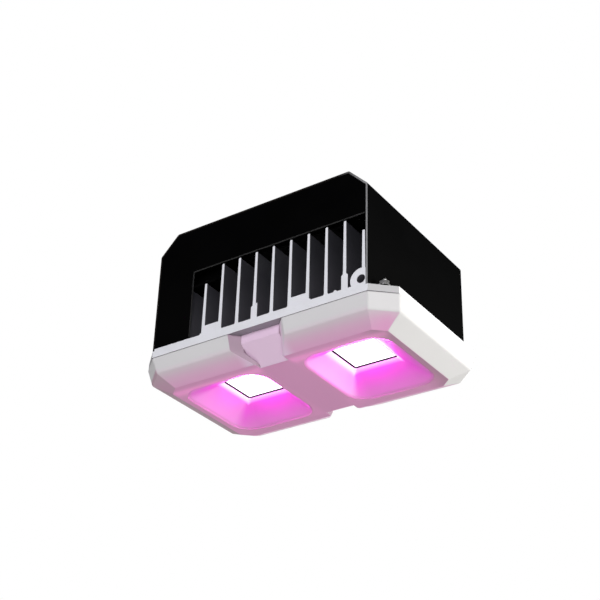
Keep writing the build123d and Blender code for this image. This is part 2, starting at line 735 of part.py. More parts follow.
def fan_stator():
    """Four wound poles round the bearing tube."""
    low, high = FAN_BOTTOM + 5.0, FAN_BOTTOM + 14.0
    core = post(FAN_X, 0, low, high, 7.0)
    for angle in (0, 90, 180, 270):
        pole = block((5.0, 13.5), (-2.5, 2.5), (low, high))
        coil = block((7.5, 11.5), (-4.2, 4.2), (low - 1.0, high + 1.0))
        core = core + Pos(FAN_X, 0, 0) * Rot(0, 0, angle) * (pole + coil)
    return core - post(FAN_X, 0, low - 2, high + 2, 4.0)


def fan_rotor():
    """Hub cap with seven twisted blades."""
    low, high = FAN_BOTTOM + 4.0, FAN_BOTTOM + 21.5
    cap = post(FAN_X, 0, low, high, ROTOR_R)
    cap = fillet(cap.edges().group_by(Axis.Z)[-1], 1.5)
    cup = post(FAN_X, 0, low, high - 1.8, ROTOR_R - 1.4)
    cap = cap - cup + post(FAN_X, 0, high - 5.0, high - 1.0, 3.5)
    middle = (low + high) / 2
    inner = Plane(origin=(ROTOR_R - 0.9, 0, middle), x_dir=(0, 1, 0), z_dir=(1, 0, 0))
    outer = Plane(origin=(BLADE_R + 1.5, 0, middle), x_dir=(0, 1, 0), z_dir=(1, 0, 0))
    root = inner * Rot(0, 0, 42) * Rectangle(19.0, 1.7)
    tip = outer * Rot(0, 0, 28) * Rectangle(28.0, 1.3)
    blade = loft([root, tip])
    reach = Cylinder(BLADE_R, 60) - Cylinder(ROTOR_R - 0.7, 60)
    blade = blade & Pos(0, 0, middle) * reach
    blades = [Pos(FAN_X, 0, 0) * Rot(0, 0, 360 / BLADE_COUNT * i) * blade for i in range(BLADE_COUNT)]
    whole = fused([cap] + blades)
    return whole - post(FAN_X, 0, low, high - 2.2, SHAFT_R)


def fan_magnet():
    low, high = FAN_BOTTOM + 4.5, FAN_BOTTOM + 16.0
    return post(FAN_X, 0, low, high, ROTOR_R - 1.4) - post(FAN_X, 0, low, high, 15.6)


def fan_shaft():
    return post(FAN_X, 0, FAN_BOTTOM + 2.0, FAN_BOTTOM + 19.3, SHAFT_R)


def fan_guard():
    """Wire finger guard: rings welded on four spokes that end in loops under the screws."""
    spoke_z = COVER_TOP + GUARD_WIRE_R
    ring_z = spoke_z + 1.7
    wires = []
    for radius in GUARD_RINGS:
        wires.append(Pos(FAN_X, 0, ring_z) * Torus(radius, GUARD_WIRE_R))
    loop_r = FAN_SCREW_R + 1.4
    reach = FAN_HOLE * math.sqrt(2) - loop_r
    for angle in (45, 135, 225, 315):
        spoke = Pos((GUARD_RINGS[0] + reach) / 2, 0, spoke_z) * Rot(0, 90, 0)
        spoke = spoke * Cylinder(GUARD_WIRE_R, reach - GUARD_RINGS[0])
        wires.append(Pos(FAN_X, 0, 0) * Rot(0, 0, angle) * spoke)
    for sx, sy in CORNER_SIGNS:
        wires.append(Pos(FAN_X + sx * FAN_HOLE, sy * FAN_HOLE, spoke_z) * Torus(loop_r, GUARD_WIRE_R))
    return fused(wires)


def fan_screws():
    screws = []
    for sx, sy in CORNER_SIGNS:
        x, y = FAN_X + sx * FAN_HOLE, sy * FAN_HOLE
        seat = COVER_TOP + 2 * GUARD_WIRE_R
        head = post(x, y, seat, seat + 2.4, 4.0)
        head = fillet(head.edges().group_by(Axis.Z)[-1], 1.2)
        screw = head + post(x, y, FAN_BOTTOM + 13, seat + 0.5, FAN_SCREW_R)
        for turn in (0, 90):
            screw = screw - Pos(x, y, seat + 2.0) * Rot(0, 0, turn) * Box(4.0, 0.9, 1.6)
        screws.append(screw)
    return Compound(children=screws)


# ---- driver and inlet ----
def driver_shelf():
    """Bent sheet over the short fins, fixed to the cover's left side."""
    span = (-HALF_DEPTH + PANEL_RELIEF, SHELF_REAR)
    plate = block((-COVER_INSIDE_X, SHELF_RIGHT), span, (SHELF_Z, SHELF_Z + SHEET))
    lip = block((-COVER_INSIDE_X, -COVER_INSIDE_X + SHEET), span, (SHELF_Z, SHELF_Z + SHELF_LIP))
    shelf = plate + lip
    holes = [post(x, y, SHELF_Z - 1, SHELF_Z + SHEET + 1, DRIVER_SCREW_R) for x, y in driver_screw_places()]
    return shelf.cut(*holes)


def driver_screw_places():
    x = sum(DRIVER_X) / 2
    ear_places = (DRIVER_Y[0] - EAR / 2, DRIVER_Y[1] + EAR / 2)
    return [(x + dx, y) for dx in (-DRIVER_SCREW_OFF, DRIVER_SCREW_OFF) for y in ear_places]


def driver_case():
    """Open tray with an ear at each end."""
    low = SHELF_Z + SHEET
    outer = block(DRIVER_X, DRIVER_Y, (low, DRIVER_TOP))
    wall = DRIVER_WALL
    inner = block(
        (DRIVER_X[0] + wall, DRIVER_X[1] - wall),
        (DRIVER_Y[0] + wall, DRIVER_Y[1] - wall),
        (low + wall, DRIVER_TOP + 1),
    )
    ears = block(DRIVER_X, (DRIVER_Y[0] - EAR, DRIVER_Y[1] + EAR), (low, low + wall))
    tray = outer + ears - inner
    holes = [post(x, y, low - 1, low + 3, DRIVER_SCREW_R) for x, y in driver_screw_places()]
    return tray.cut(*holes)


def inset_block(inset, z):
    """A box over the driver's plan, smaller by an inset on every side."""
    return block((DRIVER_X[0] + inset, DRIVER_X[1] - inset), (DRIVER_Y[0] + inset, DRIVER_Y[1] - inset), z)


def driver_lid():
    """Flat lid with a lip inside the tray, and a hole for the fan's lead."""
    top = DRIVER_TOP + DRIVER_WALL
    sheet = inset_block(0, (DRIVER_TOP, top))
    inside = DRIVER_WALL + LID_CLEARANCE
    lip_span = (DRIVER_TOP - LID_LIP_DEPTH, DRIVER_TOP)
    lip = inset_block(inside, lip_span) - inset_block(inside + LID_LIP, lip_span)
    entry = post(FAN_LEAD_END[0], FAN_LEAD_END[1], DRIVER_TOP, top, FAN_LEAD_R)
    return sheet + lip - entry


def driver_board():
    """Circuit board with its transformer, choke, capacitors and stand-offs."""
    low = SHELF_Z + SHEET + DRIVER_WALL
    level = low + DRIVER_BOARD_LIFT
    seat = level + 1
    shapes = [inset_block(DRIVER_BOARD_MARGIN, (level, level + DRIVER_BOARD_THICK))]
    inset = DRIVER_BOARD_MARGIN + STANDOFF_INSET
    for x in (DRIVER_X[0] + inset, DRIVER_X[1] - inset):
        for y in (DRIVER_Y[0] + inset, DRIVER_Y[1] - inset):
            shapes.append(post(x, y, low, level + 0.5, STANDOFF_R))
    for x_span, y_span, top in (TRANSFORMER, CHOKE):
        shapes.append(block(x_span, y_span, (seat, level + top)))
    for x, y in CAPACITOR_PLACES:
        shapes.append(post(x, y, seat, level + CAPACITOR_TOP, CAPACITOR_R))
    return fused(shapes)


def driver_screws():
    screws = []
    seat = SHELF_Z + SHEET + DRIVER_WALL
    for x, y in driver_screw_places():
        head = post(x, y, seat, seat + DRIVER_HEAD_HEIGHT, DRIVER_HEAD_R)
        head = fillet(head.edges().group_by(Axis.Z)[-1], 0.8)
        screw = head + post(x, y, SHELF_Z - 1.0, seat + 0.5, DRIVER_SCREW_R)
        screws.append(screw - Pos(x, y, seat + 1.8) * Box(*SCREW_SLOT))
    return Compound(children=screws)


def inlet_screw_places():
    return [INLET_X - INLET_SCREW_SPACING / 2, INLET_X + INLET_SCREW_SPACING / 2]


def inlet_socket():
    """Appliance inlet: flange, body, and the recess that takes the connector."""
    width, height, thick = INLET_FLANGE
    flange = block(
        (INLET_X - width / 2, INLET_X + width / 2),
        (REAR_FACE, REAR_FACE + thick),
        (INLET_Z - height / 2, INLET_Z + height / 2),
    )
    flange = chamfer(flange.edges().filter_by(Axis.Y), INLET_CUT)
    body_w, body_h = INLET_BODY
    body = block(
        (INLET_X - body_w / 2, INLET_X + body_w / 2),
        (INLET_BACK, REAR_FACE + 1),
        (INLET_Z - body_h / 2, INLET_Z + body_h / 2),
    )
    recess_w, recess_h = INLET_RECESS
    recess = block(
        (INLET_X - recess_w / 2, INLET_X + recess_w / 2),
        (INLET_FLOOR, REAR_FACE + 5),
        (INLET_Z - recess_h / 2, INLET_Z + recess_h / 2),
    )
    top_corners = [e for e in recess.edges().filter_by(Axis.Y) if e.center().Z > INLET_Z]
    recess = chamfer(top_corners, INLET_CUT)
    socket = flange + body - recess
    holes = [blade.solids()[0] for blade in pin_blades()]
    for x in inlet_screw_places():
        holes.append(along_y(x, INLET_Z, REAR_FACE - 1, REAR_FACE + 5, DRIVER_SCREW_R))
    return socket.cut(*holes)


def pin_blades():
    """Three flat contacts: two in a lower row and the earth contact above them."""
    half_x, half_z = PIN_SIZE[0] / 2, PIN_SIZE[1] / 2
    blades = []
    for dx, dz in PIN_OFFSETS:
        x, z = INLET_X + dx, INLET_Z + dz
        blades.append(block((x - half_x, x + half_x), PIN_Y, (z - half_z, z + half_z)))
    return blades


def inlet_pins():
    return Compound(children=pin_blades())


def inlet_screws():
    screws = []
    face = REAR_FACE + INLET_FLANGE[2]
    for x in inlet_screw_places():
        shank = along_y(x, INLET_Z, REAR_PANEL_Y - 2.5, face, DRIVER_SCREW_R)
        screws.append(shank - Pos(x, face, INLET_Z) * Box(2.6, 1.4, 0.7))
    return Compound(children=screws)


# ---- internal leads ----
LEAD_END_Z = BOARD_Z + BOARD_THICK
DRIVER_REAR = DRIVER_Y[1]
MAINS_ROUTE = [
    (-76, INLET_BACK, 102.4),
    (-76, 37.5, 102.4),
    (-74.5, 26, 96.9),
    (-74.5, DRIVER_REAR, 96.9),
]
LEFT_ROUTE = [
    (-TAB_X, DRIVER_REAR, 88.4),
    (-TAB_X, 42, 88.4),
    (-58.0, 42, 60.4),
    (-TAB_X, GROMMET_Y, 40.4),
    (-TAB_X, GROMMET_Y, LEAD_END_Z),
]
RIGHT_ROUTE = [
    (-50, DRIVER_REAR, 95.4),
    (-50, 42, 95.4),
    (-12, 44, 92.9),
    (25, 42.5, 93.9),
    (TAB_X, 42, 93.4),
    (58.0, 42, 62.4),
    (TAB_X, GROMMET_Y, 41.4),
    (TAB_X, GROMMET_Y, LEAD_END_Z),
]
FAN_LEAD_END = (-66.0, 6.0)
FAN_ROUTE = [
    (FAN_X - FAN_HALF, 12, 119.1),
    (-42, 12, 122.1),
    (-52, 9.5, 125.1),
    (-61, 7, 125.1),
    (-66, 6, 120.4),
    (-66, 6, DRIVER_TOP),
]


def lead(name, points, radius):
    """A round lead along straight runs joined by arcs as large as the runs allow."""
    corners = [Vector(*point) for point in points]
    radii = []
    for before, at, after in zip(corners, corners[1:], corners[2:]):
        incoming, outgoing = at - before, after - at
        turn = math.radians(incoming.get_angle(outgoing))
        radii.append(0.45 * min(incoming.length, outgoing.length) / math.tan(turn / 2))
    path = FilletPolyline(*points, radius=radii)
    section = Plane(origin=path @ 0, z_dir=path % 0) * Circle(radius)
    tube = sweep(section, path=path)
    smallest = min(radii)
    share = tube.volume / (math.pi * radius ** 2 * path.length)
    print(f"{name}: length {path.length:.0f}, smallest radius {smallest:.1f}, volume ratio {share:.4f}")
    return tube


def lead_grommets():
    """Rubber sleeves where the two light leads pass the base."""
    sleeves = []
    for side in LED_SIDES.values():
        x = side * TAB_X
        top = FIN_FLOOR + GROMMET_COLLAR
        sleeve = post(x, GROMMET_Y, LEAD_END_Z, top, GROMMET_R)
        sleeve += post(x, GROMMET_Y, FIN_FLOOR, top, GROMMET_COLLAR_R)
        sleeves.append(sleeve - post(x, GROMMET_Y, LEAD_END_Z, top, LEAD_R + 0.1))
    return Compound(children=sleeves)


def main():
    os.makedirs("parts", exist_ok=True)
    save("heatsink", heatsink())
    save("reflector_housing", reflector_housing())
    for name, side in LED_SIDES.items():
        save(f"cob_board_{name}", cob_board(side))
        save(f"led_array_{name}", led_array(side))
        save(f"lens_glass_{name}", lens_glass(side))
        save(f"lens_gasket_{name}", lens_gasket(side))
    save("cob_screws", cob_screws())
    save("housing_studs", housing_studs())
    save("nut_washers", nut_washers())
    save("cap_nuts", cap_nuts())
    save("cover_shell", cover_shell())
    save("front_panel", front_panel())
    save("rear_panel", rear_panel())
    save("ring_straps", ring_straps())
    save("ring_rivets", ring_rivets())
    for sx, sy in CORNER_SIGNS:
        end = "front" if sy < 0 else "rear"
        hand = "left" if sx < 0 else "right"
        save(f"hanging_ring_{end}_{hand}", hanging_ring(sx, sy))
    save("fan_frame", fan_frame())
    save("fan_bearings", fan_bearings())
    save("fan_stator", fan_stator())
    save("fan_rotor", fan_rotor())
    save("fan_magnet", fan_magnet())
    save("fan_shaft", fan_shaft())
    save("fan_guard", fan_guard())
    save("fan_screws", fan_screws())
    save("driver_shelf", driver_shelf())
    save("driver_case", driver_case())
    save("driver_lid", driver_lid())
    save("driver_board", driver_board())
    save("driver_screws", driver_screws())
    save("inlet_socket", inlet_socket())
    save("inlet_pins", inlet_pins())
    save("inlet_screws", inlet_screws())
    save("mains_lead", lead("mains_lead", MAINS_ROUTE, LEAD_R))
    save("led_lead_left", lead("led_lead_left", LEFT_ROUTE, LEAD_R))
    save("led_lead_right", lead("led_lead_right", RIGHT_ROUTE, LEAD_R))
    save("fan_lead", lead("fan_lead", FAN_ROUTE, FAN_LEAD_R))
    save("lead_grommets", lead_grommets())


main()
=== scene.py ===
import json
import math

import bpy
from mathutils import Matrix, Vector

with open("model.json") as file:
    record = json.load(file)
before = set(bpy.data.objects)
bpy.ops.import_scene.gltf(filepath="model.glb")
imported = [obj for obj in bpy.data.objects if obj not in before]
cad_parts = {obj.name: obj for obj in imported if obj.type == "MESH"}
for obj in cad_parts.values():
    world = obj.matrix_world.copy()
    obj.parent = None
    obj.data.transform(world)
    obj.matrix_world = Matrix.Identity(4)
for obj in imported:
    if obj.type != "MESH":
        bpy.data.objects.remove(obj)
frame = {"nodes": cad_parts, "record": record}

# LED grow light in a white studio, seen from below and from its right-hand side. The tint of the
# diodes' light is painted into the materials by position, so it stays when the diodes are off.
# Object space is the row frame in metres, so the procedural patterns have real sizes.

MM = 0.001

# ---- camera: the viewing angle, distance and lens ----
CAMERA_AZIMUTH = 35.17
CAMERA_ELEVATION = -30.23
CAMERA_ROLL = 1.71
CAMERA_DISTANCE = 1.0381
CAMERA_LENS = 77.3
CAMERA_TARGET = Vector((-0.00096, -0.0135, 0.07281))

# ---- studio ----
FLOOR_Z = -1.25
FLOOR_SIZE = 60.0
AMBIENT = 0.12

# ---- softboxes: each with its place, aim, size, watts and colour ----
SOFTBOXES = {
    "key_right": ((1.30, 0.55, 0.02), (0.05, 0.0, 0.03), (0.7, 0.7), 26.0, (1.0, 0.99, 0.96)),
    "front_fill": ((0.25, -1.50, 0.10), (0.0, 0.0, 0.05), (1.0, 1.0), 15.8, (0.955, 0.945, 1.0)),
    "top": ((-0.2, 0.2, 1.3), (0.0, 0.0, 0.1), (1.0, 1.0), 12.0, (1.0, 1.0, 1.0)),
    "rear": ((-0.9, 1.2, 0.5), (0.0, 0.0, 0.07), (0.8, 0.8), 12.0, (1.0, 1.0, 1.0)),
}

# ---- inside of the reflectors ----
MOUTH_CENTRE_X = 56.3 * MM
MOUTH_HALF = (38.6 * MM, 43.8 * MM)
BOWL_LOW = 0.05 * MM
BOWL_HIGH = 16.1 * MM
LED_CENTRE_X = 51.7 * MM
NECK_HALF = (19.8 * MM, 18.0 * MM)

# ---- light of the diodes, and the glow painted on the moulding's rims and the reflectors' necks ----
LED_COLOUR = (1.0, 0.07, 0.88, 1.0)
LED_STRENGTH = 6.0
PANE_STRENGTH = 26.0
RIM_GLOW = 0.14
NECK_GLOW = 0.90

# ---- heights on the part where a finish or the painted light changes ----
MILLED_BASE = (26.3 * MM, 25.8 * MM)
CREASE_FADE = (12.5 * MM, 3.5 * MM)

# ---- colours of the moulding and the reflectors, with the diodes' light and the shade painted in ----
PAINTED_DIODE_LIGHT = ((0.80, 0.39, 0.63, 1.0), (0.85, 0.42, 0.67, 1.0))
SHADED_DIODE_LIGHT_FAR_RIGHT = (0.52, 0.33, 0.42, 1.0)
WAIST_DIODE_LIGHT = (0.84, 0.63, 0.79, 1.0)
NOTCH_SIDE_SHADE = (0.52, 0.38, 0.46, 1.0)
LEFT_END_SHADE = (0.56, 0.39, 0.46, 1.0)
RIM_LIGHT = (1.0, 0.22, 0.66, 1.0)
DEEP_MAGENTA = ((0.90, 0.155, 0.77, 1.0), (0.93, 0.17, 0.81, 1.0))
PALE_MAGENTA = ((0.84, 0.27, 0.70, 1.0), (0.88, 0.30, 0.75, 1.0))
INWARD_SIDE = ((0.95, 0.40, 0.84, 1.0), (0.88, 0.56, 0.84, 1.0))
LOW_WALL_SHADE = (0.66, 0.29, 0.52, 1.0)
NECK_PALE = (0.92, 0.62, 0.90, 1.0)
NECK_LIGHT = (1.0, 0.62, 0.96, 1.0)

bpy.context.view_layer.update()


# ---- shader helpers ----
class Shader:
    """A node material under construction: short calls for the nodes that the finishes share."""

    def __init__(self, name):
        self.material = bpy.data.materials.new(name)
        self.material.use_nodes = True
        self.nodes = self.material.node_tree.nodes
        self.links = self.material.node_tree.links
        self.surface = self.nodes["Principled BSDF"]
        self.place = self.nodes.new("ShaderNodeTexCoord")

    def link(self, value, socket):
        """Feed a socket from another socket, or set it to a plain value."""
        if isinstance(value, bpy.types.NodeSocket):
            self.links.new(value, socket)
        else:
            socket.default_value = value

    def math(self, operation, a, b=0.0, clamp=False):
        node = self.nodes.new("ShaderNodeMath")
        node.operation = operation
        node.use_clamp = clamp
        self.link(a, node.inputs[0])
        self.link(b, node.inputs[1])
        return node.outputs[0]

    def ramp(self, value, low, high, to_low=0.0, to_high=1.0):
        """Value stretched from low..high to to_low..to_high, smoothly, and held at both ends."""
        node = self.nodes.new("ShaderNodeMapRange")
        node.interpolation_type = "SMOOTHSTEP"
        self.link(value, node.inputs["Value"])
        ends = {"From Min": low, "From Max": high, "To Min": to_low, "To Max": to_high}
        for name, number in ends.items():
            self.link(number, node.inputs[name])
        return node.outputs[0]

    def mix(self, share, a, b):
        node = self.nodes.new("ShaderNodeMix")
        node.data_type = "RGBA"
        colour_inputs = [i for i in node.inputs if i.enabled]
        for value, socket in zip((share, a, b), colour_inputs):
            self.link(value, socket)
        return next(o for o in node.outputs if o.enabled)

    def stretched(self, scale):
        """Object coordinates, stretched by a scale for each axis."""
        node = self.nodes.new("ShaderNodeMapping")
        self.link(self.place.outputs["Object"], node.inputs["Vector"])
        node.inputs["Scale"].default_value = scale
        return node.outputs[0]

    def noise(self, scale, detail=4.0, roughness=0.55, stretch=None):
        node = self.nodes.new("ShaderNodeTexNoise")
        source = self.stretched(stretch) if stretch else self.place.outputs["Object"]
        self.link(source, node.inputs["Vector"])
        node.inputs["Scale"].default_value = scale
        node.inputs["Detail"].default_value = detail
        node.inputs["Roughness"].default_value = roughness
        return node.outputs["Fac"]

    def cells(self, scale):
        node = self.nodes.new("ShaderNodeTexVoronoi")
        self.link(self.place.outputs["Object"], node.inputs["Vector"])
        node.inputs["Scale"].default_value = scale
        return node.outputs["Distance"]

    def facing(self, axis):
        """How much the surface faces the axis's positive way, from -1 to 1."""
        split = self.nodes.new("ShaderNodeSeparateXYZ")
        self.link(self.place.outputs["Normal"], split.inputs[0])
        return split.outputs[axis]

    def normal_part(self, axis):
        """How much the surface faces along an axis, from 0 to 1, both ways counted alike."""
        return self.math("ABSOLUTE", self.facing(axis))

    def position(self, axis):
        split = self.nodes.new("ShaderNodeSeparateXYZ")
        self.link(self.place.outputs["Object"], split.inputs[0])
        return split.outputs[axis]

    def beyond(self, centre_x, half):
        """Distance outside an upright rectangle that stands on both sides of the middle plane."""
        off_middle = self.math("ABSOLUTE", self.position("X"))
        along_x = self.math("ABSOLUTE", self.math("SUBTRACT", off_middle, centre_x))
        along_y = self.math("ABSOLUTE", self.position("Y"))
        past_x = self.math("SUBTRACT", along_x, half[0])
        past_y = self.math("SUBTRACT", along_y, half[1])
        return self.math("MAXIMUM", past_x, past_y)

    def bump(self, height, strength, distance, edge=None):
        """Surface relief, on top of softly rounded edges when edge is a radius."""
        node = self.nodes.new("ShaderNodeBump")
        node.inputs["Strength"].default_value = strength
        node.inputs["Distance"].default_value = distance
        self.link(height, node.inputs["Height"])
        if edge:
            bevel = self.nodes.new("ShaderNodeBevel")
            bevel.samples = 4
            bevel.inputs["Radius"].default_value = edge
            self.link(bevel.outputs[0], node.inputs["Normal"])
        self.link(node.outputs[0], self.surface.inputs["Normal"])

    def set(self, **values):
        """Principled inputs, with _ for each space in their names."""
        for name, value in values.items():
            self.link(value, self.surface.inputs[name.replace("_", " ")])


def grey(value, tint=(1.0, 1.0, 1.0)):
    return (value * tint[0], value * tint[1], value * tint[2], 1.0)


# ---- finishes ----
def black_sheet(name):
    """Black powder coat with a fine grain, a little dust and painted shading that makes it paler
    towards the bottom.
    """
    s = Shader(name)
    grain = s.noise(1600.0, 5.0, 0.6)
    patches = s.noise(26.0, 3.0)
    dust = s.ramp(s.noise(320.0, 6.0, 0.7), 0.62, 0.80)
    coat = s.mix(patches, grey(0.0006), grey(0.0012, (1.0, 1.0, 1.15)))
    # Painted shading: the coat paler towards the bottom and darker towards the top.
    coat = s.mix(s.ramp(s.position("Z"), 120.0 * MM, 40.0 * MM), coat, grey(0.0018))
    coat = s.mix(s.math("MULTIPLY", dust, 0.003), coat, grey(0.4))
    s.set(Base_Color=coat, Roughness=s.ramp(patches, 0.3, 0.7, 0.30, 0.40), Specular_IOR_Level=0.015)
    s.bump(grain, 0.10, 0.05 * MM, edge=0.35 * MM)
    return s


def cover_sheet(name):
    """Black sheet whose cut edge carries a painted highlight that grows towards the right-hand side.
    """
    s = black_sheet(name)
    edge = s.ramp(s.normal_part("Y"), 0.80, 0.95)
    # Painted highlight on the front cut edge, with a grain, growing from dark to pale towards the
    # right-hand side.
    edge_highlight = s.mix(s.noise(420.0, 4.0), grey(0.16), grey(0.36))
    pale_edge = s.mix(s.ramp(s.position("X"), 72.0 * MM, 98.0 * MM), grey(0.012, (1.2, 1.0, 0.9)), edge_highlight)
    coat = s.surface.inputs["Base Color"].links[0].from_socket
    s.set(Base_Color=s.mix(edge, coat, pale_edge))
    return s


def panel_sheet(name):
    """Black sheet with paler cut edges on every side that doesn't face forward or back."""
    s = black_sheet(name)
    edge = s.ramp(s.normal_part("Y"), 0.35, 0.20)
    pale_edge = s.mix(s.noise(420.0, 4.0), grey(0.05), grey(0.13))
    coat = s.surface.inputs["Base Color"].links[0].from_socket
    s.set(Base_Color=s.mix(edge, coat, pale_edge))
    return s


def heatsink_aluminium(name):
    """Extrusion with dark anodised flanks between bright sawn ends and a milled base, with painted
    shade on the flanks, the cut corners and the underside.
    """
    s = Shader(name)
    low_down = s.ramp(s.position("Z"), *MILLED_BASE)
    ends = s.ramp(s.normal_part("Y"), 0.45, 0.7)
    bare = s.math("MAXIMUM", low_down, ends)
    drawn = s.noise(900.0, 4.0, 0.6, (1.0, 0.02, 1.0))
    sawn = s.noise(1500.0, 5.0, 0.65, (0.25, 1.0, 1.0))
    clouds = s.noise(60.0, 3.0)
    dark = s.mix(drawn, grey(0.07, (0.95, 0.95, 1.10)), grey(0.10, (0.95, 0.95, 1.10)))
    # Painted light and shade: the flanks paler low down and darker towards the top.
    dark = s.mix(s.ramp(s.position("Z"), 78.0 * MM, 30.0 * MM), dark, grey(0.16, (0.98, 0.95, 1.08)))
    metal = s.mix(sawn, grey(0.84, (0.98, 0.99, 1.02)), grey(0.94, (0.98, 0.99, 1.02)))
    metal = s.mix(s.ramp(clouds, 0.35, 0.75, 0.0, 0.25), metal, grey(0.74))
    # Painted shade: the cut corners of the base, facing sideways and forward at once, darker.
    sideways = s.ramp(s.normal_part("X"), 0.4, 0.6)
    shaded_cut_corner = s.math("MULTIPLY", sideways, s.ramp(s.normal_part("Y"), 0.4, 0.6))
    metal = s.mix(shaded_cut_corner, metal, grey(0.56))
    # Painted shade with a pink tint of the diodes' light on the level faces low on the base, its
    # underside among them.
    underside_shade = s.math("MULTIPLY", low_down, s.ramp(s.normal_part("Z"), 0.80, 0.95))
    metal = s.mix(underside_shade, metal, grey(0.27, (1.04, 0.92, 1.06)))
    s.set(
        Base_Color=s.mix(bare, dark, metal),
        Metallic=s.math("MULTIPLY", bare, 0.05),
        Roughness=s.math("ADD", s.ramp(sawn, 0.3, 0.7, 0.30, 0.42), s.math("MULTIPLY", bare, 0.08)),
        Specular_IOR_Level=0.4,
    )
    s.bump(s.mix(ends, drawn, sawn), 0.18, 0.04 * MM, edge=0.25 * MM)
    return s


def moulding_tint(s, flow, downward, off_mouth):
    """White shell, with the diodes' tint painted below the crease and around the mouths, and painted
    shade on the downward faces at the far right.
    """
    below_crease = s.ramp(s.position("Z"), *CREASE_FADE)
    not_end = s.ramp(s.normal_part("X"), 0.42, 0.32)
    faces_right = s.ramp(s.facing("X"), 0.15, 0.25)
    rear_right = s.math("MULTIPLY", faces_right, s.ramp(s.facing("Y"), 0.05, 0.20))
    near_mouth = s.math("MULTIPLY", not_end, s.ramp(off_mouth, 40.0 * MM, 2.0 * MM))
    near_mouth = s.math("SUBTRACT", near_mouth, rear_right, clamp=True)
    lit = s.math("MULTIPLY", below_crease, s.math("MAXIMUM", near_mouth, downward))
    shell = s.mix(flow, grey(0.67, (1.01, 1.0, 0.99)), grey(0.72, (1.01, 1.0, 0.99)))
    # The diodes' light painted on the white moulding as a pink tint.
    diode_lit = s.mix(flow, *PAINTED_DIODE_LIGHT)
    # Painted shade: the pink tint duller and darker on the downward faces at the far right.
    far_right_shade = s.math("MULTIPLY", downward, s.ramp(s.position("X"), 76.0 * MM, 102.0 * MM))
    return s.mix(lit, shell, s.mix(far_right_shade, diode_lit, SHADED_DIODE_LIGHT_FAR_RIGHT))


def moulding_patches(s, skin):
    """Painted diode light on the strip's ends, and painted shade tinted by the diodes on the notches'
    sides and the foot of the left end.
    """
    off_middle = s.math("ABSOLUTE", s.position("X"))
    forward = s.ramp(s.normal_part("Y"), 0.05, 0.25)
    waist = s.math("MULTIPLY", forward, s.ramp(off_middle, 26.0 * MM, 16.0 * MM))
    turned_right = s.ramp(s.facing("X"), 0.25, 0.50)
    notch_side = s.math("MULTIPLY", turned_right, s.ramp(off_middle, 30.0 * MM, 26.5 * MM))
    turned_left = s.ramp(s.facing("X"), -0.05, -0.45)
    left_end = s.math("MULTIPLY", s.ramp(s.position("Z"), 12.0 * MM, 9.0 * MM), turned_left)
    left_end = s.math("MULTIPLY", left_end, s.ramp(s.position("X"), -80.0 * MM, -95.0 * MM))
    # Painted diode light on the waist; painted shade, tinted pink, on the notches' sides and the foot
    # of the left end.
    skin = s.mix(waist, skin, WAIST_DIODE_LIGHT)
    skin = s.mix(notch_side, skin, NOTCH_SIDE_SHADE)
    return s.mix(left_end, skin, LEFT_END_SHADE)


def white_moulding(name):
    """White moulded plastic with the diodes' light painted on it, and almost no reflection."""
    s = Shader(name)
    grain = s.noise(1300.0, 4.0, 0.6)
    flow = s.noise(14.0, 3.0)
    downward = s.ramp(s.facing("Z"), -0.94, -0.98)
    off_mouth = s.beyond(MOUTH_CENTRE_X, MOUTH_HALF)
    # Painted glow of the diodes' light on the downward faces round the mouths, stronger towards the
    # front.
    close = s.math("MULTIPLY", downward, s.ramp(off_mouth, 7.0 * MM, 0.0))
    close = s.math("MULTIPLY", close, s.ramp(s.position("Y"), -36.0 * MM, -44.0 * MM, 0.3, 1.5))
    s.set(
        Base_Color=moulding_patches(s, moulding_tint(s, flow, downward, off_mouth)),
        Roughness=s.ramp(flow, 0.3, 0.7, 0.50, 0.60),
        IOR=1.2,
        Specular_IOR_Level=0.02,
        Emission_Color=RIM_LIGHT,
        Emission_Strength=s.math("MULTIPLY", close, RIM_GLOW),
    )
    s.bump(grain, 0.06, 0.04 * MM, edge=1.3 * MM)
    return s


def reflector_bowl(name):
    """Inside of the reflectors: glossy, with the diodes' light painted on each side apart, painted
    shade at the lip and a painted glow round the neck.
    """
    s = Shader(name)
    flow = s.noise(18.0, 3.0)
    off_neck = s.beyond(LED_CENTRE_X, NECK_HALF)
    towards_left = s.ramp(s.facing("X"), -0.35, -0.60)
    spread = s.ramp(s.position("Y"), 16.0 * MM, -20.0 * MM, 0.0, 9.0 * MM)
    wider = s.math("MULTIPLY", towards_left, spread)
    near = s.ramp(off_neck, s.math("ADD", wider, 4.2 * MM), 0.6 * MM)
    # Painted light: deeper magenta close to the neck, paler further out.
    deep = s.mix(flow, *DEEP_MAGENTA)
    pale = s.mix(flow, *PALE_MAGENTA)
    wall = s.mix(s.ramp(off_neck, 6.0 * MM, 24.0 * MM), deep, pale)
    towards_right = s.ramp(s.facing("X"), 0.35, 0.60)
    side = s.mix(s.ramp(s.position("X"), -10.0 * MM, 10.0 * MM), *INWARD_SIDE)
    wall = s.mix(towards_right, wall, side)
    # Painted shade on the low wall at the mouth's lip.
    wall = s.mix(s.ramp(s.position("Z"), 2.2 * MM, 0.2 * MM), wall, LOW_WALL_SHADE)
    # Painted glow of the diodes' light round the neck.
    neck_glow = s.ramp(s.normal_part("X"), 0.1, 0.6, 0.15, NECK_GLOW)
    s.set(
        Base_Color=s.mix(near, wall, NECK_PALE),
        Roughness=s.ramp(flow, 0.3, 0.7, 0.30, 0.38),
        Specular_IOR_Level=0.4,
        Emission_Color=NECK_LIGHT,
        Emission_Strength=s.math("MULTIPLY", near, neck_glow),
    )
    s.bump(s.noise(500.0, 3.0), 0.03, 0.03 * MM)
    return s


